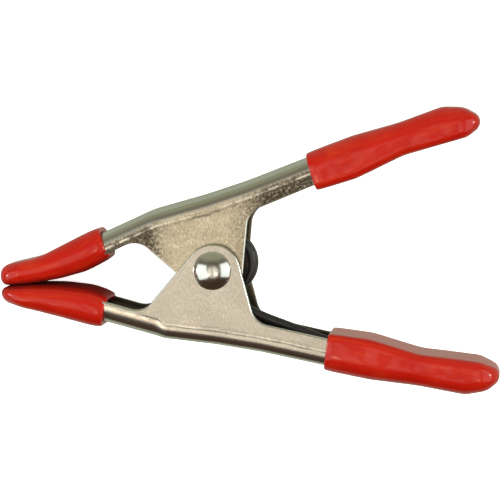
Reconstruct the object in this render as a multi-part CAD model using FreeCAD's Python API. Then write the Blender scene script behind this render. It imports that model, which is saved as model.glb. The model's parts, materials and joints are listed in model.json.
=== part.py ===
import FreeCAD, Part
import math
import os

# Spring clamp, small size, with one-inch jaws.  Millimetres.
#
# The clamp lies on its side.  +Z is the axis of the rivet, with the rivet's dome on top.
# +X runs along the line of symmetry towards the handles, and +Y towards the inner arm.
# The two arms share one side profile, mirrored in the line of symmetry.  Each is a channel
# folded from sheet: a rounded back and two cheeks, open towards the other arm.  The cheeks of
# the inner arm nest between the cheeks of the outer arm, and one rivet goes through all four.
#
# Outlines are lists of corners (x, y, corner radius) about the rivet, with the back of the arm
# on the +y side.  The outer arm and its two sleeves are the same lists with y turned over.

# ---- driving dimensions ----
pivot_x = -6.0            # from the middle of the clamp's length to the rivet
sheet = 1.2               # thickness of the nickel-plated sheet
outer_width = 12.2        # over the cheeks of the outer arm
cheek_gap = 0.1           # side clearance between the nested cheeks, on each side
outer_bend = 2.7          # outside radius where the cheeks of the outer arm fold into its back
inner_bend = 3.5          # the narrower inner arm has an almost round back
edge_round = 0.2          # wear on the sheared edge of each cheek

ear_radius = 5.5          # round end of the cheek about the rivet
shank_diameter = 4.76     # 3/16 in rivet
outer_hole_play = 0.02    # radial, the rivet is clinched tight in the outer arm
inner_hole_play = 0.05    # radial, the inner arm turns on the rivet
head_diameter = 7.94
head_height = 2.1
head_rim = 0.35           # short straight edge under the dome
tail_diameter = 6.6
tail_height = 1.3
tail_hollow = 3.0         # diameter of the mouth of the semi-tubular tail

sleeve_wall = 1.3         # vinyl beside the cheeks
grip_round = 1.6          # long edges of a handle sleeve
tip_round = 1.3           # long edges of a jaw sleeve

wire = 2.0                # spring wire diameter
coil_radius = 5.88        # to the middle of the wire
coil_turns = 2
coil_pitch = 2.05
coil_x = 2.1              # the loose coil is pushed against the rivet
coil_y = 1.1
leg_start_angle = 34.0    # slope of a leg where it leaves the coil
outer_leg_angle = 24.9    # slope after its gentle bend, in the outer arm
inner_leg_angle = 19.7    # and in the inner arm, whose round back holds it further in
leg_bend_x = 8.6          # where the bend is
leg_bend_radius = 24.0
leg_end_x = 34.5
coil_lengths = 8          # the helix is drawn in that many equal lengths

# ---- sizes that follow ----
inner_width = outer_width - 2 * sheet - 2 * cheek_gap
rest_height = outer_width / 2 + sleeve_wall     # the outer sleeves lie on the table
shank_radius = shank_diameter / 2
head_radius = head_diameter / 2
tail_radius = tail_diameter / 2
hollow_radius = tail_hollow / 2

# ---- side profile of an arm ----
# The back of the channel, from the end in the handle to the end in the jaw.
back = [
    (50.0, 28.32, 0.0),
    (41.0, 26.05, 40.0),
    (29.0, 23.95, 20.0),
    (8.0, 17.8, 60.0),
    (-0.7, 15.7, 60.0),
    (-9.2, 14.07, 60.0),
    (-17.5, 11.75, 40.0),
    (-34.5, 5.4, 0.0),
]
# The free edge of the cheeks, from the jaw round the ear to the handle.
cheek_edge = [
    (-34.5, 1.37, 0.0),
    (-28.6, 2.8, 16.0),
    (-15.4, 7.62, 4.2),
    (-2.28, -ear_radius, ear_radius),
    (5.04, -ear_radius, 5.5),
    (8.0, 11.41, 4.4),
    (26.5, 17.15, 25.0),
    (32.3, 18.3, 10.0),
    (41.5, 22.0, 12.0),
    (50.0, 23.87, 0.0),
]
# Handle sleeve: mouth, front face with its finger hollow, nose, and swollen back.
grip = [
    (23.4, 14.95, 0.4),
    (31.5, 16.75, 12.0),
    (41.5, 20.65, 14.0),
    (53.6, 23.1, 6.0),
    (59.1, 26.4, 1.8),
    (54.5, 29.4, 5.0),
    (50.0, 29.9, 6.0),
    (40.5, 27.3, 40.0),
    (31.0, 25.5, 25.0),
    (21.2, 22.75, 0.6),
]
# Jaw sleeve: mouth, gripping face that flattens towards the tip, nose, and straight back.
tip = [
    (-22.1, 3.75, 0.4),
    (-27.2, 1.7, 14.0),
    (-33.0, 0.62, 20.0),
    (-39.5, 0.1, 20.0),
    (-45.7, 0.1, 1.5),
    (-45.7, 3.25, 2.0),
    (-37.0, 5.75, 30.0),
    (-24.3, 10.75, 0.6),
]


def point(x, y, z=0.0):
    return FreeCAD.Vector(x, y, z)


def turned(corners, side):
    """The same corners on the other side of the line of symmetry when side is -1."""
    return [(x, y * side, radius) for x, y, radius in corners]


def rounded_edges(corners, closed):
    """Straight edges between the corners, with an arc of the given radius at each corner."""
    count = len(corners)
    edges = []
    last = None
    first = None
    for i, (x, y, radius) in enumerate(corners):
        here = point(x, y)
        has_neighbours = closed or 0 < i < count - 1
        if radius > 0 and has_neighbours:
            before = point(*corners[i - 1][:2])
            after = point(*corners[(i + 1) % count][:2])
            towards_before = (before - here).normalize()
            towards_after = (after - here).normalize()
            half_angle = towards_before.getAngle(towards_after) / 2
            run = radius / math.tan(half_angle)
            middle = (towards_before + towards_after).normalize()
            centre = here + middle * (radius / math.sin(half_angle))
            start = here + towards_before * run
            end = here + towards_after * run
            crown = centre - middle * radius
        else:
            start = here
            end = here
            crown = None
        if last is not None:
            edges.append(Part.LineSegment(last, start).toShape())
        else:
            first = start
        if crown is not None:
            edges.append(Part.Arc(start, crown, end).toShape())
        last = end
    if closed:
        edges.append(Part.LineSegment(last, first).toShape())
    return edges


def prism(corners, width):
    """A plate with the given outline, centred on z = 0."""
    wire_outline = Part.Wire(rounded_edges(corners, True))
    face = Part.Face(wire_outline)
    face.translate(point(0, 0, -width / 2))
    return face.extrude(point(0, 0, width))


def edges_along(solid, corners, z_level):
    """Edges of the solid that lie on both sides of it, at +z and -z, along a chain of corners."""
    chain = Part.Wire(rounded_edges(corners, False))
    found = []
    for edge in solid.Edges:
        box = edge.BoundBox
        if box.ZLength > 1e-6 or abs(abs(box.ZMin) - z_level) > 1e-6:
            continue
        middle = edge.valueAt((edge.FirstParameter + edge.LastParameter) / 2)
        on_plane = Part.Vertex(middle.x, middle.y, 0.0)
        if chain.distToShape(on_plane)[0] < 1e-4:
            found.append(edge)
    return found


def inset(corners, distance, side):
    """The chain moved towards the open side of the arm, with its arcs kept concentric."""
    moved = []
    for i, (x, y, radius) in enumerate(corners):
        here = point(x, y)
        before = point(*corners[max(i - 1, 0)][:2])
        after = point(*corners[min(i + 1, len(corners) - 1)][:2])
        along_in = (here - before) if i > 0 else (after - here)
        along_out = (after - here) if i < len(corners) - 1 else (here - before)
        along_in.normalize()
        along_out.normalize()
        inward_in = point(-along_in.y, along_in.x) * side
        inward_out = point(-along_out.y, along_out.x) * side
        middle = (inward_in + inward_out).normalize()
        stretch = 1 / middle.dot(inward_in)
        shifted = here + middle * (distance * stretch)
        bends_inward = along_out.dot(inward_in) > 0
        new_radius = radius - distance if bends_inward else radius + distance
        moved.append((shifted.x, shifted.y, max(new_radius, 0.0) if radius else 0.0))
    return moved


def lengthened(corners, distance):
    """The chain with its two end runs made longer by the distance."""
    result = list(corners)
    for end, beside in ((0, 1), (-1, -2)):
        here = point(*corners[end][:2])
        outward = (here - point(*corners[beside][:2])).normalize()
        further = here + outward * distance
        result[end] = (further.x, further.y, 0.0)
    return result


def arm_envelope(side, width, bend):
    """The arm as if its channel were filled in."""
    solid = prism(turned(back + cheek_edge, side), width)
    return solid.makeFillet(bend, edges_along(solid, turned(back, side), width / 2))


def channel_space(side, width, bend):
    """What is taken out of the envelope to leave a wall of one sheet."""
    past_ends = 4.0
    past_ear = 12.0
    inner_back = lengthened(inset(turned(back, side), sheet, side), past_ends)
    floor = -side * (ear_radius + past_ear)
    closing = [(inner_back[-1][0], floor, 0.0), (inner_back[0][0], floor, 0.0)]
    solid = prism(inner_back + closing, width)
    return solid.makeFillet(bend - sheet, edges_along(solid, inner_back, width / 2))


def arm(side, width, bend, hole_radius):
    body = arm_envelope(side, width, bend)
    body = body.makeFillet(edge_round, edges_along(body, turned(cheek_edge[1:-1], side), width / 2))
    body = body.cut(channel_space(side, width - 2 * sheet, bend))
    bore = Part.makeCylinder(hole_radius, width * 2, point(0, 0, -width), point(0, 0, 1))
    return body.cut(bore)


def sleeve(side, width, bend, outline, long_round):
    """A closed vinyl sleeve: its moulded outside, less the end of the arm that fills it."""
    full_width = width + 2 * sleeve_wall
    body = prism(turned(outline, side), full_width)
    body = body.makeFillet(long_round, edges_along(body, turned(outline, side), full_width / 2))
    return body.cut(arm_envelope(side, width, bend))


def rivet():
    """Domed head on top, shank through the four cheeks, clinched hollow tail below."""
    top = outer_width / 2
    bottom = -outer_width / 2
    cap_height = head_height - head_rim
    dome_radius = (head_radius ** 2 + cap_height ** 2) / (2 * cap_height)
    dome_centre = top + head_height - dome_radius
    dome_slope = math.asin(head_radius / dome_radius) / 2
    dome_middle = point(dome_radius * math.sin(dome_slope), 0,
                        dome_centre + dome_radius * math.cos(dome_slope))
    roll = tail_height / 2
    lip = tail_radius - roll
    mouth = hollow_radius + roll
    under = bottom - tail_height
    diagonal = roll * math.sqrt(0.5)
    outline = [
        Part.Arc(point(0, 0, top + head_height), dome_middle,
                 point(head_radius, 0, top + head_rim)),
        Part.LineSegment(point(head_radius, 0, top + head_rim), point(head_radius, 0, top)),
        Part.LineSegment(point(head_radius, 0, top), point(shank_radius, 0, top)),
        Part.LineSegment(point(shank_radius, 0, top), point(shank_radius, 0, bottom)),
        Part.LineSegment(point(shank_radius, 0, bottom), point(lip, 0, bottom)),
        Part.Arc(point(lip, 0, bottom), point(tail_radius, 0, bottom - roll), point(lip, 0, under)),
        Part.LineSegment(point(lip, 0, under), point(mouth, 0, under)),
        Part.Arc(point(mouth, 0, under), point(mouth - diagonal, 0, bottom - roll - diagonal),
                 point(hollow_radius, 0, bottom - roll)),
        Part.LineSegment(point(hollow_radius, 0, bottom - roll), point(0, 0, bottom + roll)),
        Part.LineSegment(point(0, 0, bottom + roll), point(0, 0, top + head_height)),
    ]
    face = Part.Face(Part.Wire([piece.toShape() for piece in outline]))
    return face.revolve(point(0, 0, 0), point(0, 0, 1), 360)


def spring_leg(side, root, end_angle):
    """Edges of one leg, from the coil to its end: two straight runs joined by a gentle arc."""
    start_slope = math.radians(leg_start_angle)
    end_slope = math.radians(end_angle)
    bend = root + point(1, side * math.tan(start_slope)) * (leg_bend_x - root.x)
    far = bend + point(1, side * math.tan(end_slope)) * (leg_end_x - leg_bend_x)
    run = leg_bend_radius * math.tan((start_slope - end_slope) / 2)
    to_root = (root - bend).normalize()
    to_far = (far - bend).normalize()
    half_angle = (math.pi - start_slope + end_slope) / 2
    crown_distance = leg_bend_radius / math.sin(half_angle) - leg_bend_radius
    crown = bend + (to_root + to_far).normalize() * crown_distance
    bend_start = bend + to_root * run
    bend_end = bend + to_far * run
    return [
        Part.LineSegment(root, bend_start).toShape(),
        Part.Arc(bend_start, crown, bend_end).toShape(),
        Part.LineSegment(bend_end, far).toShape(),
    ]


def spring():
    """Torsion spring: three loose turns about the rivet and a leg along each handle channel."""
    leave_angle = 90 + leg_start_angle
    turns = coil_turns + 1 - leave_angle / 180
    travel = turns * coil_pitch
    coil = []
    for length in range(coil_lengths):
        helix = Part.makeHelix(coil_pitch, travel / coil_lengths, coil_radius)
        helix.rotate(point(0, 0, 0), point(0, 0, 1), leave_angle + 360 * turns * length / coil_lengths)
        helix.translate(point(coil_x, coil_y, travel * (length / coil_lengths - 0.5)))
        coil += helix.Edges
    root_x = coil_x + coil_radius * math.cos(math.radians(leave_angle))
    root_offset = coil_radius * math.sin(math.radians(leave_angle))
    inner_leg = spring_leg(1, point(root_x, coil_y + root_offset, -travel / 2), inner_leg_angle)
    outer_leg = spring_leg(-1, point(root_x, coil_y - root_offset, travel / 2), outer_leg_angle)
    path = Part.Wire(inner_leg[::-1] + coil + outer_leg)
    tip_edge = inner_leg[-1]
    tip = tip_edge.Vertexes[-1].Point
    section = Part.Wire(Part.makeCircle(wire / 2, tip, tip - tip_edge.Vertexes[0].Point))
    return path.makePipeShell([section], True, True)


def main():
    os.makedirs("parts", exist_ok=True)
    outer = -1
    inner = 1
    nodes = {
        "outer_arm": arm(outer, outer_width, outer_bend, shank_radius + outer_hole_play),
        "inner_arm": arm(inner, inner_width, inner_bend, shank_radius + inner_hole_play),
        "pivot_rivet": rivet(),
        "torsion_spring": spring(),
        "outer_grip": sleeve(outer, outer_width, outer_bend, grip, grip_round),
        "inner_grip": sleeve(inner, inner_width, inner_bend, grip, grip_round),
        "outer_jaw_tip": sleeve(outer, outer_width, outer_bend, tip, tip_round),
        "inner_jaw_tip": sleeve(inner, inner_width, inner_bend, tip, tip_round),
    }
    for name, shape in nodes.items():
        shape.translate(point(pivot_x, 0, rest_height))
        solids = shape.Solids
        box = shape.BoundBox
        print(name, "solids", len(solids), "valid", shape.isValid(), "closed",
              all(solid.isClosed() for solid in solids), "volume", round(shape.Volume, 1),
              [round(v, 2) for v in (box.XMin, box.YMin, box.ZMin, box.XMax, box.YMax, box.ZMax)])
        shape.exportStep("parts/" + name + ".step")


main()
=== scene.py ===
import json
import math

import bmesh
import bpy
import numpy as np
from mathutils import Matrix, Vector, noise


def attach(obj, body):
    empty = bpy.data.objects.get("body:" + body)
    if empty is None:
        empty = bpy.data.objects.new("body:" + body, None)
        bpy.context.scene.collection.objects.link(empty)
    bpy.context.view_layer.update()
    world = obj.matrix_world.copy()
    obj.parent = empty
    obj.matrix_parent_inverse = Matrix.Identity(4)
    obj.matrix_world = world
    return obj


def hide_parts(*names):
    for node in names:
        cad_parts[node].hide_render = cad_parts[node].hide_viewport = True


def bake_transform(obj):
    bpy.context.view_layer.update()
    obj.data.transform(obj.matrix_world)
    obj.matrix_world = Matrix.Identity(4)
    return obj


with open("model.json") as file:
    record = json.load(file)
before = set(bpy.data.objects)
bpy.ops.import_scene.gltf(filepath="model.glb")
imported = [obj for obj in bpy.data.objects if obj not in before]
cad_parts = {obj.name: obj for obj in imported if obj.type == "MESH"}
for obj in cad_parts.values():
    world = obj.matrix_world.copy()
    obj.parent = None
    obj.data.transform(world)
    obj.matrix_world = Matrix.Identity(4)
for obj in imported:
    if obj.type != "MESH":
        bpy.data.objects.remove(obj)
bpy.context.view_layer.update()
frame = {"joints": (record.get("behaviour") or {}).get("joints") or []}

# Looks of a small steel spring clamp with vinyl sleeves.
#
# The row frame has the clamp on its side: +Z is the rivet's axis, +X runs to the handles, +Y to
# the inner arm.  Shapes are drawn in millimetres about the pivot, with the back of an arm on the
# +y side, and turned over for the outer arm.  mesh_piece() puts them into the row frame in metres.

MM = 0.001
MERGE = 2e-6               # points closer than this are one point
CHART = 0.01               # one unit of a piece's own UV chart is 100 mm of its surface
pivot = Vector(frame["joints"][0]["pos_m"])

# ---- driving dimensions, millimetres ----
sheet = 1.2                # thickness of the plated sheet
outer_width = 12.2         # over the cheeks of the outer arm
inner_width = 9.6          # over the cheeks of the inner arm
outer_bend = 2.7           # outside of the fold between back and cheek of the outer arm
inner_bend = 2.95          # the narrower inner arm's back is rounder for its width
outer_jaw_bend = 3.5       # the outer arm is rounder where the jaw is drawn in
inner_jaw_bend = 2.9
outer_ear_shift = -0.15    # the two pressings differ a little at the handle side of the ear
inner_ear_shift = 0.33
neck_x = -11.0             # where an arm's bend starts to change towards the jaw
neck_length = 3.0
sheared_round = 0.3        # outer corner of the sheared edge
burr_round = 0.1           # inner corner of the sheared edge
ear_reach = 10.0           # corners of the cheek from the pivot to here move with the ear's handle side
outline_gap = 0.4          # between the points of a rounded outline
back_samples = 900         # finer points along the back and along the edge, to place the sections by
edge_samples = 1200
station_gap = 0.5          # between the cross-sections of an arm
edge_share = 0.8           # how much a step along the sheared edge counts in that gap
cheek_rows = 32            # mesh rows down a cheek
crease_rows = 15           # of which the first lie close together about the crease
crease_band = 2.2          # how far down those rows reach
crease_place = 0.35        # the forming die's line, from the end of the bend
crease_width = 0.3
crease_depth = 0.06
groove_width = 0.14        # the sharp score in the crease
cheek_wave = 0.05          # unevenness of the pressed cheek

head_radius = 3.97
head_height = 2.1
head_rim = 0.35            # short straight edge under the dome
rim_round = 0.16
seat_gap = 0.02            # between the head or tail and the cheek
shank_radius = 2.38
tail_radius = 3.3
tail_height = 1.3
tail_lip = 0.45            # rolled edge of the clinched tail
tail_curl = 0.6
hollow_radius = 1.5
hollow_lip = 0.35
rivet_sides = 96

sleeve_wall = 1.3
round_shrink = 0.6         # how much of the wall's thickness comes off the rounding inside a sleeve
lip_rings = 7
lip_bulge = 0.8            # how far a mouth's rolled lip stands out, in half walls
jaw_slope = 0.4            # of a jaw sleeve's outline at its mouth
outer_tip_shift = -1.0     # of a jaw sleeve's mouth along X: the outer one covers less of its arm
inner_tip_shift = 0.1
inner_grip_drop = -0.15    # the inner handle's sleeve sits lower on its arm
inner_grip_back = -0.15    # and is a little shorter

wire = 2.0
wire_sides = 20
wire_end = [(0.0, 0.05), (0.03, 0.6), (0.1, 0.85), (0.25, 1.0)]     # from the end, share of the radius
coil_radius = 5.88
coil_turns = 2
coil_pitch = 2.05
coil_x = 2.1               # the loose coil is pushed against the rivet
coil_y = 1.1
leg_start_angle = 34.0
outer_leg_angle = 24.9
inner_leg_angle = 19.7
leg_bend_x = 8.6
leg_bend_radius = 24.0
leg_end_x = 34.5

# ---- camera, metres, millimetres of lens, degrees ----
camera_place = Vector((0.06019, 0.03918, 0.45085))
camera_target = Vector((0.0015, 0.00324, 0.0074))
camera_lens = 153.9
camera_tilt = 5.15

# ---- studio, radiance ----
room_dark = (0.065, 0.035, 0.022)
room_brown = (0.15, 0.135, 0.1)
room_olive = (0.38, 0.39, 0.26)
room_warm = (1.3, 1.25, 1.08)
room_table = (0.53, 0.58, 0.47)
backdrop = (0.9, 0.9, 0.9)
warm_lamp = (8.0, 5.8, 4.0)
white_lamp = (22.0, 22.0, 22.0)
lamps = [                  # direction, reach in degrees, colour: small lights for the glints
    ((-0.38, -0.29, 0.88), 6.5, warm_lamp),
    ((0.23, -0.29, 0.93), 6.5, warm_lamp),
    ((-0.94, 0.05, 0.34), 7.0, white_lamp),
    ((0.97, 0.02, 0.24), 7.0, white_lamp),
]
box_radiance = 1.5
box_distance = 0.65
fill_radiance = 1.75       # lights the vinyl and the floor only: the metal doesn't show it
fill_distance = 0.8
box_colour = (0.9, 1.0, 0.97)
floor_glow = 0.75
floor_half = 3.0
floor_level = -0.0003      # just under the lowest swelling of the sleeves

# ---- side profile: corners (x, y, corner radius) ----
# The back of an arm and the sheared edge of its cheeks run from the handle's end to the jaw's.  A sleeve's
# front face runs from its mouth to its nose, and its back from the nose to the mouth.
back_line = [
    (50.0, 28.32, 0.0),
    (41.0, 26.05, 40.0),
    (29.0, 23.95, 20.0),
    (8.0, 17.8, 60.0),
    (-0.7, 15.7, 60.0),
    (-12.0, 13.5, 14.0),
    (-34.5, 5.4, 0.0),
]
cheek_line = [
    (50.0, 23.87, 0.0),
    (41.5, 22.0, 12.0),
    (32.3, 18.3, 10.0),
    (26.5, 17.15, 25.0),
    (8.0, 11.41, 4.4),
    (5.04, -5.5, 5.5),
    (-2.28, -5.5, 5.5),
    (-15.4, 7.62, 4.2),
    (-28.6, 2.8, 16.0),
    (-34.5, 1.37, 0.0),
]
grip_front = [(23.4, 14.95, 0.0), (31.5, 16.75, 12.0), (41.5, 20.65, 14.0), (53.6, 23.1, 6.0)]
full_front = grip_front[:3] + [(54.8, 23.3, 4.0)]     # the inner grip's nose is fuller
grip_nose = (59.4, 26.2, 2.1)
grip_back = [
    (54.5, 29.4, 5.0),
    (50.0, 29.9, 6.0),
    (40.5, 27.3, 40.0),
    (31.0, 25.5, 25.0),
    (21.5, 22.85, 0.0),
]
tip_front = [
    (-22.1, 3.75, 0.0),
    (-27.2, 1.7, 14.0),
    (-33.0, 0.62, 20.0),
    (-39.5, 0.1, 20.0),
    (-45.7, 0.1, 1.5),
]
tip_nose = (-45.7, 3.25, 2.0)
tip_back = [(-38.0, 5.75, 45.0), (-24.3, 10.75, 0.0)]
humped_back = [(-44.4, 4.5, 3.0), (-37.0, 5.55, 16.0), (-24.3, 10.75, 0.0)]     # the inner jaw's is swollen


# ---- plane curves ----
finest_turn = 0.12         # radians between the points of a small arc


def unit(vector):
    """The vector at length 1."""
    return vector / np.linalg.norm(vector)


def rounded(corners, spacing):
    """Close points along an open outline whose corners are rounded with arcs."""
    plan = [np.array(corner[:2], float) for corner in corners]
    points = [plan[0]]
    for i in range(1, len(plan) - 1):
        before, here, after = plan[i - 1], plan[i], plan[i + 1]
        radius = corners[i][2]
        u = unit(before - here)
        v = unit(after - here)
        half = math.acos(np.clip(np.dot(u, v), -1, 1)) / 2
        reach = radius / math.tan(half)
        centre = here + unit(u + v) * radius / math.sin(half)
        first = here + u * reach - centre
        last = here + v * reach - centre
        turn = math.pi - 2 * half
        steps = max(2, int(turn * radius / spacing) + 1, int(turn / finest_turn))
        for step in range(steps + 1):
            part = step / steps
            mix = (math.sin((1 - part) * turn) * first + math.sin(part * turn) * last) / math.sin(turn)
            points.append(centre + mix)
    points.append(plan[-1])
    return np.array(points)


def lengths(points):
    """Distance along the points from the first one."""
    steps = np.linalg.norm(np.diff(points, axis=0), axis=1)
    return np.concatenate([[0.0], np.cumsum(steps)])


def at_length(points, along):
    """Points at the given distances along a line of points."""
    total = lengths(points)
    return np.stack([np.interp(along, total, points[:, k]) for k in range(points.shape[1])], axis=1)


def directions(points):
    """Unit tangents at the points."""
    slope = np.gradient(points, axis=0)
    return slope / np.linalg.norm(slope, axis=1)[:, None]


def at_index(table, where):
    """Rows of a table at fractional row numbers."""
    rows = np.arange(len(table))
    return np.stack([np.interp(where, rows, table[:, k]) for k in range(table.shape[1])], axis=1)


def smooth(x):
    """0 below 0, 1 above 1, and a smooth step between."""
    x = min(1.0, max(0.0, x))
    return x * x * (3 - 2 * x)


# ---- meshes ----
def mesh_piece(name, points, faces, side, uv=None, marks=None):
    """A mesh object in the row frame, from points in millimetres about the pivot.  side -1 turns y over.
    marks are named values from 0 to 1 at the points, for the material."""
    points = np.array(points, float)
    points[:, 1] *= side
    points = points * MM + np.array(pivot)
    if side < 0:
        faces = [face[::-1] for face in faces]
    mesh = bpy.data.meshes.new(name)
    mesh.from_pydata(points.tolist(), [], faces)
    if uv is not None:
        layer = mesh.uv_layers.new(name="UVMap")
        corner = np.zeros(len(mesh.loops), np.int32)
        mesh.loops.foreach_get("vertex_index", corner)
        layer.data.foreach_set("uv", np.array(uv, np.float32)[corner].ravel())
    for mark, values in (marks or {}).items():
        attribute = mesh.attributes.new(mark, "FLOAT", "POINT")
        attribute.data.foreach_set("value", np.array(values, np.float32))
    piece = bpy.data.objects.new(name, mesh)
    bpy.context.scene.collection.objects.link(piece)
    clean = bmesh.new()
    clean.from_mesh(mesh)
    bmesh.ops.remove_doubles(clean, verts=clean.verts, dist=MERGE)
    bmesh.ops.recalc_face_normals(clean, faces=clean.faces)
    clean.to_mesh(mesh)
    clean.free()
    mesh.shade_smooth()
    return piece


def grid_faces(rows, columns, closed):
    """Quads between neighbouring rows of a grid of points, numbered row by row."""
    faces = []
    for i in range(rows - 1):
        for j in range(columns if closed else columns - 1):
            k = (j + 1) % columns
            faces.append((i * columns + j, i * columns + k, (i + 1) * columns + k, (i + 1) * columns + j))
    return faces


def bumpy(point, size, seed):
    """Smooth noise from -1 to 1 with features of about that size in millimetres."""
    return noise.noise(Vector((point[0] / size + seed, point[1] / size - seed, point[2] / size + 2 * seed)))


# ---- arms ----
def edge_hits(edge, starts, aims):
    """How far along the sheared edge of the cheek each ray first meets it."""
    along = lengths(edge)
    a = edge[:-1]
    ab = np.diff(edge, axis=0)
    found = []
    for start, aim in zip(starts, aims):
        cross = aim[0] * ab[:, 1] - aim[1] * ab[:, 0]
        gap = a - start
        reach = (gap[:, 0] * ab[:, 1] - gap[:, 1] * ab[:, 0]) / cross
        part = (gap[:, 0] * aim[1] - gap[:, 1] * aim[0]) / cross
        good = (part >= -1e-6) & (part <= 1 + 1e-6) & (reach > 0.5)
        i = int(np.argmin(np.where(good, reach, 1e9)))
        found.append(along[i] + part[i] * (along[i + 1] - along[i]))
    return np.maximum.accumulate(np.array(found))


def arm_stations(ear_shift):
    """Points on the back and on the sheared edge with their normals, close together where either line
    needs it.  ear_shift moves the ear's handle side along X."""
    line = rounded(back_line, outline_gap)
    fine = at_length(line, np.linspace(0, lengths(line)[-1], back_samples))
    tangent = directions(fine)
    inward = np.stack([-tangent[:, 1], tangent[:, 0]], axis=1)
    inward[0] = inward[1]
    corners = [(x + ear_shift if 0 < x < ear_reach else x, y, radius) for x, y, radius in cheek_line]
    edge = rounded(corners, outline_gap)
    hits = edge_hits(edge, fine[1:-1], inward[1:-1])
    hits = np.concatenate([[0.0], hits, [lengths(edge)[-1]]])
    back_step = np.diff(lengths(fine))
    edge_step = np.diff(hits)
    measure = np.concatenate([[0.0], np.cumsum(np.maximum(back_step, edge_step * edge_share))])
    count = int(measure[-1] / station_gap)
    pick = np.interp(np.linspace(0, measure[-1], count), measure, np.arange(len(fine)))
    along_edge = np.interp(pick, np.arange(len(fine)), hits)
    edge_length = lengths(edge)[-1]
    edge_tangent = directions(at_length(edge, np.linspace(0, edge_length, edge_samples)))
    spine = at_index(fine, pick)
    inward = at_index(inward, pick)
    rim = at_length(edge, along_edge)
    slope = at_index(edge_tangent, along_edge / edge_length * (edge_samples - 1))
    outward = np.stack([-slope[:, 1], slope[:, 0]], axis=1)
    outward /= np.linalg.norm(outward, axis=1)[:, None]
    return spine, inward, rim, outward


def arm_section(spine, inward, rim, outward, half, bends, seed):
    """One closed cross-section of the folded channel, as (x, y, z, distance round the outside, mark).
    The mark is 1 on the sheared edge, -1 on the inside of the channel and 0 elsewhere."""
    bend, jaw_bend = bends
    bend_radius = bend + (jaw_bend - bend) * smooth((neck_x - spine[0]) / neck_length)
    inner = bend_radius - sheet
    cheek_top = spine + inward * bend_radius
    cheek_foot = rim - outward * sheared_round
    drop = cheek_foot - cheek_top
    depth = np.linalg.norm(drop)
    room = min(1.0, max(0.0, (depth - 0.8) / 1.5))      # the crease fades where the cheek is narrow
    outside = []

    def add(store, plan, z, girth, mark):
        """Adds one point of the section."""
        store.append((plan[0], plan[1], z, girth, mark))

    for i in range(7):
        z = (half - bend_radius) * i / 7
        add(outside, spine, z, z, 0)
    for i in range(10):
        angle = math.pi / 2 * i / 10
        plan = spine + inward * (bend_radius - bend_radius * math.cos(angle))
        z = half - bend_radius + bend_radius * math.sin(angle)
        add(outside, plan, z, half - bend_radius + bend_radius * angle, 0)
    girth = half - bend_radius + bend_radius * math.pi / 2
    ragged = 0.75 + 0.6 * bumpy((spine[0], spine[1], 0), 1.3, seed + 5)
    wander = 0.12 * bumpy((spine[0], spine[1], 0), 3.0, seed + 7)
    fine = min(crease_band, 0.6 * depth)
    for i in range(cheek_rows + 1):
        if i < crease_rows:
            down = fine * i / crease_rows
        else:
            part = (i - crease_rows) / (cheek_rows - crease_rows)
            down = fine + (depth - fine) * math.sin(math.pi / 2 * part)
        plan = cheek_top + drop * down / depth
        press = smooth((down - crease_place - wander) / crease_width + 0.5)
        groove = math.exp(-((down - crease_place - wander - 0.15) / groove_width) ** 2)
        wave = cheek_wave * bumpy((plan[0], plan[1], 0), 11.0, seed) * min(1, down / 2)
        z = half - crease_depth * (press + 0.6 * groove * ragged) * room + wave * room
        add(outside, plan, z, girth + down, 0)
    last_z = outside[-1][2]
    for i in range(1, 5):
        angle = math.pi / 2 * i / 4
        plan = cheek_foot + outward * sheared_round * math.sin(angle)
        z = last_z - sheared_round * (1 - math.cos(angle))
        add(outside, plan, z, girth + depth + sheared_round * angle, 0.5 if i < 2 else 1)
    inside = []
    low = half - sheet
    for i in range(3):
        angle = math.pi / 2 * i / 2
        plan = rim - outward * burr_round * (1 - math.cos(angle))
        add(inside, plan, low + burr_round * (1 - math.sin(angle)), girth + depth + 1, 1 if i < 2 else 0)
    inner_foot = rim - outward * burr_round
    inner_top = spine + inward * bend_radius
    for i in range(1, 9):
        plan = inner_foot + (inner_top - inner_foot) * i / 8
        add(inside, plan, low, girth + depth * (1 - i / 8), 0)
    for i in range(1, 7):
        angle = math.pi / 2 * (1 - i / 6)
        plan = spine + inward * (bend_radius - inner * math.cos(angle))
        add(inside, plan, half - bend_radius + inner * math.sin(angle), girth - i * 0.4, 0)
    for i in range(1, 4):
        z = (half - bend_radius) * (1 - i / 4)
        add(inside, spine + inward * sheet, z, z, 0)
    near = outside + [(*entry[:4], -1) for entry in inside]
    centre_back = (spine + inward * sheet).tolist() + [0.0, 0.0, -1]
    far = [(x, y, -z, -g, m) for x, y, z, g, m in near[:0:-1]]
    return near + [tuple(centre_back)] + far


def arm(name, side, width, bends, ear_shift, seed):
    """A pressed arm: sections from the handle end to the jaw end, each a channel open to the other arm."""
    stations = arm_stations(ear_shift)
    along = lengths(stations[0])
    points = []
    uv = []
    sheared = []
    # painted shade on the inside of the channel and on the far cheek's sheared edges
    inside_shade = []
    for i, (spine, inward, rim, outward) in enumerate(zip(*stations)):
        section = arm_section(spine, inward, rim, outward, width / 2, bends, seed)
        for x, y, z, girth, mark in section:
            points.append((x, y, z))
            uv.append((along[i] * CHART, girth * CHART))
            # sheared marks a painted highlight along the sheared edges: full on the near cheek, weak on the
            # far one
            if z > 0:
                sheared.append(max(mark, 0))
                inside_shade.append(max(-mark, 0))
            else:
                sheared.append(max(mark, 0) * 0.1)      # the far edges lie in the shade of the channel
                inside_shade.append(max(-mark, 0.7 * mark, 0))
    columns = len(section)
    faces = grid_faces(len(along), columns, True)
    first = list(range(columns))
    last = [len(points) - columns + j for j in range(columns)]
    faces.append(tuple(first))
    faces.append(tuple(last[::-1]))
    return mesh_piece(name, points, faces, side, uv, {"sheared": sheared, "inside": inside_shade})


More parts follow.
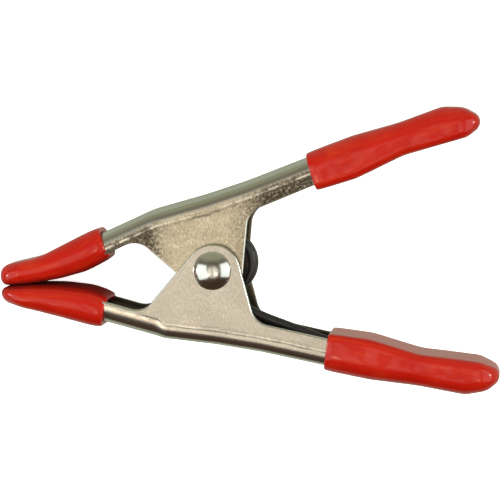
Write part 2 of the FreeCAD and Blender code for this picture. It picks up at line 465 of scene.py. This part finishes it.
# ---- rivet ----
def lathe(name, profile, segments):
    """A turned piece about the pivot axis, from (radius, z) pairs that start and end on the axis."""
    points = []
    for radius, z in profile:
        for j in range(segments):
            angle = 2 * math.pi * j / segments
            points.append((radius * math.cos(angle), radius * math.sin(angle), z))
    faces = grid_faces(len(profile), segments, True)
    # painted shade on the shank where it lies between the arms
    inside_shade = [1.0 if abs(z) < outer_width / 2 else 0.0 for _, _, z in points]
    return mesh_piece(name, points, faces, 1, None, {"inside": inside_shade})


def arc_profile(centre_r, centre_z, radius, start, end, steps):
    """(radius, z) pairs round an arc, angles in degrees from +radius."""
    pairs = []
    for i in range(steps + 1):
        angle = math.radians(start + (end - start) * i / steps)
        pairs.append((centre_r + radius * math.cos(angle), centre_z + radius * math.sin(angle)))
    return pairs


def rivet():
    """The domed head, the shank, and the clinched tail with its hollow mouth, turned in one piece."""
    top = outer_width / 2
    dome = head_height - head_rim
    cap_radius = (head_radius ** 2 + dome ** 2) / (2 * dome)
    cap_angle = math.degrees(math.asin(head_radius / cap_radius))
    rim_centre = head_radius - rim_round
    profile = arc_profile(0, top + head_height - cap_radius, cap_radius, 90, 90 - cap_angle + 2.2, 40)
    profile[0] = (0.0, top + head_height)
    profile += arc_profile(rim_centre, top + head_rim - rim_round + 0.06, rim_round, 50, 0, 5)
    profile += arc_profile(rim_centre, top + rim_round + seat_gap, rim_round, 0, -90, 5)
    profile += [(shank_radius, top + seat_gap), (shank_radius, -top - seat_gap)]
    seat = -top - tail_lip - seat_gap
    profile += arc_profile(tail_radius - tail_lip, seat, tail_lip, 90, 0, 6)
    drop = tail_height - tail_lip - seat_gap
    profile += [(tail_radius - 0.02 * i * i, seat - drop * 0.35 * i / 3) for i in range(1, 3)]
    foot = -top - tail_height
    profile += arc_profile(tail_radius - 0.5 - 0.28, foot + tail_curl, tail_curl, -25, -90, 7)
    profile += arc_profile(hollow_radius + hollow_lip, foot + hollow_lip, hollow_lip, -90, -180, 6)
    profile += [(hollow_radius, -top + 0.4), (hollow_radius * 0.8, -top + 0.9), (0.0, -top + 1.1)]
    return lathe("rivet", profile, rivet_sides)


# ---- vinyl sleeves ----
def loop_section(length, half, front_round, back_round, shrink):
    """One closed section of a sleeve as (t, z) pairs: t runs from the front face to the back."""
    length = max(length - 2 * shrink, 0.0)
    half = max(half - shrink, 0.01)
    front_round = max(min(front_round - shrink * round_shrink, 0.5 * length, 0.96 * half), 0.0)
    back_round = max(min(back_round - shrink * round_shrink, 0.5 * length, 0.96 * half), 0.0)
    pairs = []
    for i in range(5):
        pairs.append((0.0, (half - front_round) * i / 5))
    for i in range(8):
        angle = math.pi / 2 * i / 8
        level = half - front_round + front_round * math.sin(angle)
        pairs.append((front_round * (1 - math.cos(angle)), level))
    for i in range(8):
        pairs.append((front_round + (length - front_round - back_round) * i / 8, half))
    for i in range(10):
        angle = math.pi / 2 * i / 10
        t = length - back_round + back_round * math.sin(angle)
        pairs.append((t, half - back_round + back_round * math.cos(angle)))
    for i in range(5):
        pairs.append((length, (half - back_round) * (1 - i / 5)))
    pairs.append((length, 0.0))
    pairs += [(t, -z) for t, z in pairs[-2:0:-1]]
    return [(t + shrink, z) for t, z in pairs]


def pushed(corners, shift):
    """An outline whose mouth end is moved along the arm, because each sleeve was pushed on by hand."""
    result = list(corners)
    end = 0 if corners[0][0] > corners[-1][0] else -1
    x, y, radius = result[end]
    result[end] = (x + shift, y + jaw_slope * shift, radius)
    return result


def moved(corners, x_shift, y_shift):
    """An outline moved as a whole."""
    return [(x + x_shift, y + y_shift, radius) for x, y, radius in corners]


def sleeve(name, side, half, outline, style, seed):
    """A dipped vinyl sleeve: lofted sections from the mouth to a rounded nose, a lip and a hollow."""
    front_corners, nose, back_corners = outline
    full = rounded(front_corners + [nose] + back_corners, 0.25)
    nose_point = np.array(nose[:2])
    towards_front = unit(np.array(front_corners[-1][:2]) - nose_point)
    towards_back = unit(np.array(back_corners[0][:2]) - nose_point)
    lean = unit(towards_front + towards_back)
    across = full - nose_point
    offside = np.abs(across[:, 0] * lean[1] - across[:, 1] * lean[0])
    crown = int(np.argmin(offside + 0.2 * np.linalg.norm(across, axis=1)))
    front_line = full[:crown + 1]
    back_part = full[crown:][::-1]
    count = style["stations"]
    quarter = 0.97 * math.pi / 2      # the sections crowd towards the nose, but don't meet
    share = np.sin(quarter * np.arange(count) / (count - 1)) / math.sin(quarter)
    front = at_length(front_line, share * lengths(front_line)[-1])
    back = at_length(back_part, share * lengths(back_part)[-1])
    middle = (front + back) / 2
    reach = lengths(middle)
    reach = reach[-1] - reach
    axis = directions(middle)
    nose_half = style["nose_half"]
    points = []
    uv = []
    worn_and_shaded = []

    def ring(i, shrink, push):
        """A section at station i, shrunk, and pushed out of the mouth along the axis."""
        chord = back[i] - front[i]
        length = np.linalg.norm(chord)
        up = chord / length if length > 1e-6 else np.array([0.0, 1.0])
        width = half
        if reach[i] < style["nose_length"]:
            left = 1 - reach[i] / style["nose_length"]
            width = nose_half + (half - nose_half) * math.sqrt(max(0.0, 1 - left ** 2))
        from_mouth = reach[0] - reach[i]
        tight = style["tight"] * math.exp(-from_mouth / 1.2)
        tuck = style["tuck"] * math.exp(-from_mouth / 0.7)
        section = loop_section(length, width, style["front_round"], style["back_round"], shrink + tight)
        for t, z in section:
            place = front[i] + up * t - axis[0] * push
            level = 2 * t / max(length, 0.01) - 1
            z = z * (1 - (style["crown"] * level * level + tuck) / half)
            points.append((place[0], place[1], z))
            uv.append((reach[i] * CHART, (t + abs(z)) * CHART))
            worn_and_shaded.append(style["worn_and_shaded"] * smooth(1 - t / 1.2))
        return len(section)

    hollow = [i for i in range(count) if reach[0] - reach[i] < style["hollow"]]
    for i in hollow[::-1]:
        ring(i, style["wall"], 0.0)
    lip = style["wall"] / 2
    for i in range(1, lip_rings + 1):
        angle = math.pi * i / (lip_rings + 1)
        ring(0, lip + lip * math.cos(angle), lip * lip_bulge * math.sin(angle))
    for i in range(count):
        columns = ring(i, 0.0, 0.0)
    soft = []
    for place in points:
        swell = bumpy(place, 9.0, seed) - 0.4
        out = 1 + style["dent"] / 7 * swell + style["dent"] / 40 * bumpy(place, 2.5, seed + 3)
        soft.append((place[0], place[1], place[2] * out))
    faces = grid_faces(len(hollow) + lip_rings + count, columns, True)
    faces.append(tuple(range(columns))[::-1])
    return mesh_piece(name, soft, faces, side, uv, {"worn_and_shaded": worn_and_shaded})


# Millimetres.  nose_half: half the width at the very nose, reached over nose_length.  tight: how much the
# mouth grips the metal.  hollow: depth of the open mouth.  crown: how much narrower the faces' edges are.
# dent: how uneven the faces are.  tuck: how much the mouth is pulled in.  worn_and_shaded: 1 where the
# gripping face is rubbed matt and painted dark as the shade between the jaws.
grip_style = {
    "stations": 110, "front_round": 1.7, "back_round": 4.0, "nose_half": 2.6, "nose_length": 4.6,
    "wall": 1.0, "tight": 0.1, "hollow": 22.0, "crown": 0.15, "dent": 0.3, "tuck": 0.2, "worn_and_shaded": 0.0,
}
tip_style = {
    "stations": 90, "front_round": 4.2, "back_round": 4.6, "nose_half": 2.4, "nose_length": 5.0,
    "wall": 1.25, "tight": 0.35, "hollow": 15.0, "crown": 0.1, "dent": 0.25, "tuck": 0.2, "worn_and_shaded": 1.0,
}


# ---- torsion spring ----
def spring_path():
    """Points along the wire: inner leg from its end, the coil, and the outer leg to its end."""
    start_slope = math.radians(leg_start_angle)
    leave_angle = math.pi / 2 + start_slope
    turns = coil_turns + 1 - leave_angle / math.pi
    travel = turns * coil_pitch

    def leg(way, z_level, end_angle):
        """A leg from the coil outwards: straight, a gentle bend, and straight to its end."""
        end_slope = math.radians(end_angle)
        root = np.array([coil_x + coil_radius * math.cos(leave_angle),
                         coil_y + way * coil_radius * math.sin(leave_angle)])
        bend = root + np.array([1, way * math.tan(start_slope)]) * (leg_bend_x - root[0])
        far = bend + np.array([1, way * math.tan(end_slope)]) * (leg_end_x - leg_bend_x)
        plan = rounded([(*root, 0), (*bend, leg_bend_radius), (*far, 0)], 0.5)
        plan = at_length(plan, np.linspace(0, lengths(plan)[-1], 70))
        return np.column_stack([plan, np.full(len(plan), z_level)])

    angles = leave_angle + np.linspace(0, 2 * math.pi * turns, 260)
    heights = np.linspace(-travel / 2, travel / 2, len(angles))
    across = coil_x + coil_radius * np.cos(angles)
    upward = coil_y + coil_radius * np.sin(angles)
    coil = np.column_stack([across, upward, heights])
    path = np.concatenate([
        leg(1, -travel / 2, inner_leg_angle)[::-1][:-1],
        coil,
        leg(-1, travel / 2, outer_leg_angle)[1:],
    ])
    path = at_length(path, np.arange(0, lengths(path)[-1], 0.4))
    for _ in range(3):      # the wire eases from the coil into its legs
        path[1:-1] = 0.25 * path[:-2] + 0.5 * path[1:-1] + 0.25 * path[2:]
    return path


def spring():
    """The wire along its path, with rounded ends."""
    path = spring_path()
    tangent = directions(path)
    along = lengths(path)
    stations = [(place, size) for place, size in wire_end]
    stations += [(distance, 1.0) for distance in along[1:-1]]
    stations += [(along[-1] - place, size) for place, size in wire_end[::-1]]
    points = []
    uv = []
    side = unit(np.cross(tangent[0], np.array([0.0, 0.0, 1.0])))
    for distance, size in stations:
        centre = at_length(path, np.array([distance]))[0]
        aim = unit(np.array([np.interp(distance, along, tangent[:, k]) for k in range(3)]))
        side = unit(side - aim * np.dot(side, aim))
        other = np.cross(aim, side)
        for j in range(wire_sides):
            angle = 2 * math.pi * j / wire_sides
            offset = side * math.cos(angle) + other * math.sin(angle)
            points.append(centre + offset * wire / 2 * size)
            uv.append((distance * CHART, j / wire_sides))
    faces = grid_faces(len(stations), wire_sides, True)
    faces.append(tuple(range(wire_sides))[::-1])
    faces.append(tuple(len(points) - wire_sides + j for j in range(wire_sides)))
    return mesh_piece("spring", points, faces, 1, uv)


# ---- materials ----
# bend_girth: millimetres round from the middle of the back to where the cheek begins at the die's score
# line.
# score_shade: how dark the shade painted along that score is.  dark_to_handle and dark_to_jaw: the places
# along
# X, in metres, between which the cheek goes from clear to darker and mottled.
outer_finish = {
    "light": (0.65, 0.595, 0.53), "dark": (0.5, 0.455, 0.395), "rough": 0.24, "bend_girth": 7.6,
    "score_shade": 0.3, "dark_to_handle": (0.06, 0.07), "dark_to_jaw": (-0.045, -0.05),
}
inner_finish = {
    "light": (0.74, 0.65, 0.51), "dark": (0.42, 0.355, 0.265), "rough": 0.26, "bend_girth": 6.45,
    "score_shade": 0.85, "dark_to_handle": (-0.006, 0.006), "dark_to_jaw": (-0.0125, -0.0185),
}


def new_material(name):
    """A node material, with its tree and its shader."""
    material = bpy.data.materials.new(name)
    material.use_nodes = True
    tree = material.node_tree
    shader = tree.nodes["Principled BSDF"]
    return material, tree, shader


def node(tree, kind, **settings):
    """A new node with the given settings."""
    made = tree.nodes.new(kind)
    for key, value in settings.items():
        setattr(made, key, value)
    return made


def noise_node(tree, vector, scale, detail, rough=0.5):
    """Noise from 0 to 1 at the vector, with scale features to a unit."""
    made = node(tree, "ShaderNodeTexNoise")
    made.inputs["Scale"].default_value = scale
    made.inputs["Detail"].default_value = detail
    made.inputs["Roughness"].default_value = rough
    tree.links.new(vector, made.inputs["Vector"])
    return made.outputs["Fac"]


def ramp(tree, value, stops):
    """A colour ramp: stops are (position, colour)."""
    made = node(tree, "ShaderNodeValToRGB")
    ends = made.color_ramp.elements
    while len(ends) < len(stops):
        ends.new(0.5)
    for element, (place, colour) in zip(ends, stops):
        element.position = place
        element.color = (*colour, 1.0)
    tree.links.new(value, made.inputs["Fac"])
    return made.outputs["Color"]


def spread(tree, value, low, high, out_low, out_high):
    """Maps a value's range low..high to another range."""
    made = node(tree, "ShaderNodeMapRange")
    made.inputs["From Min"].default_value = low
    made.inputs["From Max"].default_value = high
    made.inputs["To Min"].default_value = out_low
    made.inputs["To Max"].default_value = out_high
    tree.links.new(value, made.inputs["Value"])
    return made.outputs["Result"]


def smooth_spread(tree, value, low, high):
    """0 at low and 1 at high, with a smooth step between."""
    made = node(tree, "ShaderNodeMapRange", interpolation_type="SMOOTHSTEP")
    made.inputs["From Min"].default_value = low
    made.inputs["From Max"].default_value = high
    tree.links.new(value, made.inputs["Value"])
    return made.outputs["Result"]


def blend_colours(tree, share, first, second):
    """The first colour where share is 0 and the second where it is 1."""
    made = node(tree, "ShaderNodeMix", data_type="RGBA")
    for value, index in ((share, 0), (first, 6), (second, 7)):
        if isinstance(value, (int, float)):
            made.inputs[index].default_value = value
        elif isinstance(value, tuple):
            made.inputs[index].default_value = (*value, 1.0)
        else:
            tree.links.new(value, made.inputs[index])
    return made.outputs[2]


def pulse(tree, value, centre, width):
    """1 at the centre, falling smoothly to 0 half a width away on both sides."""
    up = smooth_spread(tree, value, centre - width / 2, centre)
    down = smooth_spread(tree, value, centre + width / 2, centre)
    return calculate(tree, "MULTIPLY", up, down)


def calculate(tree, operation, *values):
    """A sum of numbers and sockets."""
    made = node(tree, "ShaderNodeMath", operation=operation)
    for index, value in enumerate(values):
        if isinstance(value, (int, float)):
            made.inputs[index].default_value = value
        else:
            tree.links.new(value, made.inputs[index])
    return made.outputs[0]


def add_bump(tree, shader, height, distance, strength):
    """Fine relief: distance is its depth in metres."""
    made = node(tree, "ShaderNodeBump")
    made.inputs["Distance"].default_value = distance
    made.inputs["Strength"].default_value = strength
    tree.links.new(height, made.inputs["Height"])
    tree.links.new(made.outputs["Normal"], shader.inputs["Normal"])


def marked(tree, name):
    """One of a piece's own marks, from 0 to 1."""
    return node(tree, "ShaderNodeAttribute", attribute_name=name).outputs["Fac"]


def stretched(tree, chart, along, across, detail, rough=0.6):
    """Noise in a piece's own chart, with its own spacing along the piece and round it."""
    flat = node(tree, "ShaderNodeMapping")
    flat.inputs["Scale"].default_value = (along, across, 1)
    tree.links.new(chart, flat.inputs["Vector"])
    return noise_node(tree, flat.outputs["Vector"], 1.0, detail, rough)


def nickel(name, finish):
    """Dull nickel plate on cold-rolled sheet, smooth on the round back and grainy on the cheeks, with
    painted highlights on the crease's ridge, the sheared edges and small flecks, and painted shade in the
    crease's score and inside the channel.
    """
    material, tree, shader = new_material(name)
    shader.inputs["Metallic"].default_value = 1.0
    shader.inputs["Specular Tint"].default_value = (0.8, 0.8, 0.74, 1.0)
    coordinates = node(tree, "ShaderNodeTexCoord")
    place = coordinates.outputs["Object"]
    chart = coordinates.outputs["UV"]
    split = node(tree, "ShaderNodeSeparateXYZ")
    tree.links.new(place, split.inputs[0])
    chart_split = node(tree, "ShaderNodeSeparateXYZ")
    tree.links.new(chart, chart_split.inputs[0])
    around = calculate(tree, "ABSOLUTE", chart_split.outputs["Y"])
    around = calculate(tree, "MULTIPLY", around, 1 / CHART)
    around = calculate(tree, "SUBTRACT", around, finish["bend_girth"])
    cheek = smooth_spread(tree, around, -1.2, 0.4)

    streak = stretched(tree, chart, 420, 110, 3)
    lengthwise = stretched(tree, chart, 9, 260, 3)
    speckle = noise_node(tree, place, 3000, 3, 0.6)
    cloud = noise_node(tree, place, 140, 4, 0.6)
    grain = calculate(tree, "MULTIPLY", streak, 0.5)
    grain = calculate(tree, "ADD", grain, calculate(tree, "MULTIPLY", speckle, 0.3))
    grain = calculate(tree, "ADD", grain, calculate(tree, "MULTIPLY", cloud, 0.35))
    back = calculate(tree, "ADD", calculate(tree, "MULTIPLY", lengthwise, 0.5), 0.36)
    texture = node(tree, "ShaderNodeMix")
    tree.links.new(cheek, texture.inputs[0])
    tree.links.new(back, texture.inputs[2])
    tree.links.new(grain, texture.inputs[3])
    texture = texture.outputs[0]
    colour = ramp(tree, texture, [(0.48, finish["dark"]), (0.7, finish["light"])])
    plain = ramp(tree, texture, [(0.48, (0.56, 0.54, 0.49)), (0.72, (0.68, 0.66, 0.61))])
    colour = blend_colours(tree, cheek, plain, colour)

    # the cheeks turn darker and mottled between the given places along X, towards the jaw and the handle
    to_handle = spread(tree, split.outputs["X"], *finish["dark_to_handle"], 0, 1)
    to_jaw = spread(tree, split.outputs["X"], *finish["dark_to_jaw"], 0, 1)
    dark_zone = calculate(tree, "MULTIPLY", calculate(tree, "MAXIMUM", to_handle, to_jaw), cheek)
    coarse = stretched(tree, chart, 190, 150, 4)
    mottled_dark = calculate(tree, "ADD", dark_zone, calculate(tree, "MULTIPLY", coarse, 3.0))
    mottled_dark = calculate(tree, "MULTIPLY", spread(tree, mottled_dark, 1.7, 2.55, 0, 1), dark_zone)
    colour = blend_colours(tree, mottled_dark, colour, tuple(0.16 * value for value in finish["dark"]))
    # painted glints: small bright flecks on the cheeks, standing for scratches that catch the light
    glint_fleck = spread(tree, noise_node(tree, place, 420, 2, 0.5), 0.68, 0.76, 0, 0.4)
    colour = blend_colours(tree, calculate(tree, "MULTIPLY", glint_fleck, cheek), colour, (0.95, 0.92, 0.84))

    broken = stretched(tree, chart, 34, 3, 3)
    ragged = calculate(tree, "SUBTRACT", stretched(tree, chart, 120, 3, 3), 0.5)
    waved = calculate(tree, "ADD", around, calculate(tree, "MULTIPLY", ragged, 1.2))
    # painted shade: a dark line in the crease's score, broken up along the arm
    groove = pulse(tree, waved, crease_place + 0.75, 0.9)
    groove = calculate(tree, "MULTIPLY", groove, spread(tree, broken, 0.35, 0.6, 0, finish["score_shade"]))
    colour = blend_colours(tree, groove, colour, tuple(0.3 * value for value in finish["dark"]))
    # painted highlight: a bright line on the crease's ridge at the end of the bend, broken up along the arm
    ridge_highlight = pulse(tree, around, crease_place + 0.1, 0.8)
    ridge_highlight = calculate(tree, "MULTIPLY", ridge_highlight, spread(tree, broken, 0.62, 0.42, 0, 0.9))
    colour = blend_colours(tree, ridge_highlight, colour, (0.95, 0.9, 0.8))

    # painted highlight along the sheared edges
    colour = blend_colours(tree, marked(tree, "sheared"), colour, (0.95, 0.94, 0.9))
    # painted shade inside the channel and between the arms
    inside_shade = marked(tree, "inside")
    colour = blend_colours(tree, inside_shade, colour, (0.13, 0.11, 0.08))
    tree.links.new(colour, shader.inputs["Base Color"])
    rough = finish["rough"]
    gloss = spread(tree, texture, 0.45, 0.8, rough + 0.04, rough - 0.04)
    gloss = calculate(tree, "ADD", gloss, calculate(tree, "MULTIPLY", inside_shade, 0.15))
    tree.links.new(gloss, shader.inputs["Roughness"])
    height = calculate(tree, "MULTIPLY", calculate(tree, "SUBTRACT", texture, 0.5), cheek)
    add_bump(tree, shader, height, 0.00003, 0.6)
    return material


def vinyl():
    """Dipped vinyl: uneven red with drips of orange along it, glossy, and matt where the jaws rub, where it
    is also painted dark as shade.
    """
    material, tree, shader = new_material("red_vinyl")
    coordinates = node(tree, "ShaderNodeTexCoord")
    place = coordinates.outputs["Object"]
    cloud = noise_node(tree, place, 120, 3, 0.5)
    drips = stretched(tree, coordinates.outputs["UV"], 9, 60, 3)
    colour = ramp(tree, cloud, [(0.3, (0.39, 0.006, 0.002)), (0.7, (0.44, 0.01, 0.003))])
    colour = blend_colours(tree, spread(tree, drips, 0.5, 0.75, 0, 0.8), colour, (0.49, 0.028, 0.006))
    # the gripping faces: matt from rubbing, and painted dark as the shade between the jaws
    worn_and_shaded = marked(tree, "worn_and_shaded")
    colour = blend_colours(tree, worn_and_shaded, colour, (0.17, 0.006, 0.003))
    tree.links.new(colour, shader.inputs["Base Color"])
    tree.links.new(spread(tree, worn_and_shaded, 0, 1, 0.4, 0.95), shader.inputs["Roughness"])
    shader.inputs["Specular IOR Level"].default_value = 0.05
    tree.links.new(spread(tree, worn_and_shaded, 0, 1, 0.6, 0.0), shader.inputs["Coat Weight"])
    shader.inputs["Coat Roughness"].default_value = 0.1
    waves = noise_node(tree, place, 190, 2, 0.5)
    peel = noise_node(tree, place, 700, 2, 0.5)
    height = calculate(tree, "ADD", waves, calculate(tree, "MULTIPLY", peel, 0.06))
    add_bump(tree, shader, height, 0.0006, 0.5)
    return material


def polished():
    """Bright nickel on the rivet."""
    material, tree, shader = new_material("polished_steel")
    shader.inputs["Metallic"].default_value = 1.0
    place = node(tree, "ShaderNodeTexCoord").outputs["Object"]
    cloud = noise_node(tree, place, 900, 3, 0.6)
    colour = ramp(tree, cloud, [(0.3, (0.62, 0.6, 0.56)), (0.7, (0.7, 0.68, 0.64))])
    # painted shade on the shank where it lies between the arms
    colour = blend_colours(tree, marked(tree, "inside"), colour, (0.12, 0.105, 0.085))
    tree.links.new(colour, shader.inputs["Base Color"])
    gloss = spread(tree, cloud, 0.3, 0.7, 0.15, 0.21)
    tree.links.new(gloss, shader.inputs["Roughness"])
    add_bump(tree, shader, cloud, 0.00001, 0.4)
    return material


def black_steel():
    """Oil-blackened spring wire."""
    material, tree, shader = new_material("black_spring_steel")
    shader.inputs["Metallic"].default_value = 0.6
    place = node(tree, "ShaderNodeTexCoord").outputs["UV"]
    cloud = noise_node(tree, place, 60, 4, 0.6)
    colour = ramp(tree, cloud, [(0.3, (0.018, 0.018, 0.02)), (0.7, (0.05, 0.045, 0.042))])
    tree.links.new(colour, shader.inputs["Base Color"])
    gloss = spread(tree, cloud, 0.3, 0.7, 0.28, 0.4)
    tree.links.new(gloss, shader.inputs["Roughness"])
    return material


# ---- the clamp ----
def dress(piece, material, body, cad_node):
    """Gives a piece its material and slot, and puts it in its CAD node's place on its body."""
    piece.data.materials.append(material)
    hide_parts(cad_node)
    if body:
        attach(piece, body)


def clamp():
    """All eight pieces, each in the place of its CAD node."""
    outer_plate = nickel("nickel_outer", outer_finish)
    inner_plate = nickel("nickel_inner", inner_finish)
    red = vinyl()
    outer_arm = arm("arm_outer", -1, outer_width, (outer_bend, outer_jaw_bend), outer_ear_shift, 3.1)
    dress(outer_arm, outer_plate, "outer_side", "outer_arm")
    inner_arm = arm("arm_inner", 1, inner_width, (inner_bend, inner_jaw_bend), inner_ear_shift, 8.4)
    dress(inner_arm, inner_plate, "inner_side", "inner_arm")
    dress(rivet(), polished(), "outer_side", "pivot_rivet")

    outer_half = outer_width / 2 + sleeve_wall
    inner_half = inner_width / 2 + sleeve_wall
    outer_grip = (grip_front, grip_nose, grip_back)
    inner_grip = (
        moved(full_front, 0, inner_grip_drop),
        moved([grip_nose], inner_grip_back, inner_grip_drop)[0],
        moved(grip_back, 0, inner_grip_drop),
    )
    outer_tip = (pushed(tip_front, outer_tip_shift), tip_nose, pushed(tip_back, outer_tip_shift))
    inner_tip = (pushed(tip_front, inner_tip_shift), tip_nose, pushed(humped_back, inner_tip_shift))
    sleeves = (
        ("grip_outer", -1, outer_half, outer_grip, grip_style, "outer_side", "outer_grip", 1.3),
        ("grip_inner", 1, inner_half, inner_grip, grip_style, "inner_side", "inner_grip", 5.2),
        ("tip_outer", -1, outer_half, outer_tip, tip_style, "outer_side", "outer_jaw_tip", 7.7),
        ("tip_inner", 1, inner_half, inner_tip, tip_style, "inner_side", "inner_jaw_tip", 9.6),
    )
    for name, side, half, outline, style, body, cad_node, seed in sleeves:
        dress(sleeve(name, side, half, outline, style, seed), red, body, cad_node)

    coil = spring()
    dress(coil, black_steel(), None, "torsion_spring")
    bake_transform(coil)


# ---- studio ----
def camera():
    """The view looks down on the clamp from its handle side, a little from the inner arm's side."""
    tilt = math.radians(camera_tilt)
    up_hint = Vector((math.sin(tilt), math.cos(tilt), 0))
    forward = (camera_target - camera_place).normalized()
    right = forward.cross(up_hint).normalized()
    up = right.cross(forward)
    data = bpy.data.cameras.new("camera")
    data.lens = camera_lens
    data.sensor_width = 36
    made = bpy.data.objects.new("camera", data)
    bpy.context.scene.collection.objects.link(made)
    made.matrix_world = Matrix((right, up, -forward)).transposed().to_4x4()
    made.location = camera_place
    bpy.context.scene.camera = made


def softbox(name, aim, distance, width, height, radiance):
    """A rectangular light in a direction from the clamp, facing it.  Its size is in degrees as seen
    from there."""
    side = 2 * distance * math.tan(math.radians(width / 2))
    rise = 2 * distance * math.tan(math.radians(height / 2))
    data = bpy.data.lights.new(name, "AREA")
    data.shape = "RECTANGLE"
    data.size = side
    data.size_y = rise
    data.energy = radiance * math.pi * side * rise
    data.color = box_colour
    made = bpy.data.objects.new(name, data)
    bpy.context.scene.collection.objects.link(made)
    back = Vector(aim).normalized()
    across = Vector((0, 1, 0)).cross(back).normalized()
    made.matrix_world = Matrix((across, back.cross(across), back)).transposed().to_4x4()
    made.location = back * distance
    made.visible_camera = False
    return made


def floor():
    """A pale sheet of paper, which the reflections in the metal don't show."""
    mesh = bpy.data.meshes.new("floor")
    corners = [(-1, -1), (1, -1), (1, 1), (-1, 1)]
    mesh.from_pydata([(x * floor_half, y * floor_half, 0) for x, y in corners], [], [(0, 1, 2, 3)])
    made = bpy.data.objects.new("floor", mesh)
    bpy.context.scene.collection.objects.link(made)
    made.location.z = floor_level
    made.visible_glossy = False
    made.visible_diffuse = False
    material, tree, shader = new_material("paper")
    place = node(tree, "ShaderNodeTexCoord").outputs["Object"]
    fibre = noise_node(tree, place, 400, 3)
    colour = ramp(tree, fibre, [(0.3, (0.87, 0.87, 0.865)), (0.7, (0.89, 0.89, 0.885))])
    tree.links.new(colour, shader.inputs["Base Color"])
    shader.inputs["Roughness"].default_value = 0.9
    shader.inputs["Specular IOR Level"].default_value = 0.1
    shader.inputs["Emission Color"].default_value = (1, 1, 1, 1)
    shader.inputs["Emission Strength"].default_value = floor_glow
    mesh.materials.append(material)


def studio():
    """Two large softboxes and a fill, and a dull room round them that the camera doesn't see."""
    world = bpy.data.worlds.new("studio")
    bpy.context.scene.world = world
    world.use_nodes = True
    tree = world.node_tree
    background = tree.nodes["Background"]
    split = node(tree, "ShaderNodeSeparateXYZ")
    direction = node(tree, "ShaderNodeTexCoord").outputs["Generated"]
    tree.links.new(direction, split.inputs[0])
    room = ramp(tree, spread(tree, split.outputs["Y"], -1, 1, 0, 1), [
        (0.0, room_dark),
        (0.40, room_dark),
        (0.53, room_brown),
        (0.78, room_brown),
        (0.90, room_olive),
        (1.0, room_olive),
    ])
    overhead = calculate(tree, "MULTIPLY", split.outputs["Y"], -0.12)
    overhead = smooth_spread(tree, calculate(tree, "ADD", split.outputs["Z"], overhead), 0.84, 1.0)
    room = blend_colours(tree, overhead, room, room_warm)
    for aim, reach, shine in lamps:
        facing = node(tree, "ShaderNodeVectorMath", operation="DOT_PRODUCT")
        tree.links.new(direction, facing.inputs[0])
        facing.inputs[1].default_value = Vector(aim).normalized()
        near = smooth_spread(tree, facing.outputs["Value"], math.cos(math.radians(reach)), 1.0)
        room = blend_colours(tree, near, room, shine)
    stripe = pulse(tree, split.outputs["X"], -0.05, 0.16)
    stripe = calculate(tree, "MULTIPLY", stripe, smooth_spread(tree, split.outputs["Z"], 0.8, 0.95))
    room = blend_colours(tree, stripe, room, room_brown)
    leaning = calculate(tree, "MULTIPLY", split.outputs["Y"], -0.2)
    leaning = calculate(tree, "ADD", split.outputs["Z"], leaning)
    below = smooth_spread(tree, leaning, 0.0, -0.2)
    room = blend_colours(tree, below, room, room_table)
    seen = node(tree, "ShaderNodeLightPath").outputs["Is Camera Ray"]
    room = blend_colours(tree, seen, room, backdrop)
    tree.links.new(room, background.inputs["Color"])
    background.inputs["Strength"].default_value = 1.0
    softbox("softbox_left", (-0.77, -0.06, 0.62), box_distance, 50, 56, box_radiance)
    softbox("softbox_right", (0.87, -0.06, 0.48), box_distance, 50, 56, box_radiance)
    fill = softbox("softbox_fill", (0.15, 0.35, 0.92), fill_distance, 70, 70, fill_radiance)
    fill.visible_glossy = False
    bpy.context.scene.view_settings.view_transform = "Standard"


clamp()
camera()
floor()
studio()
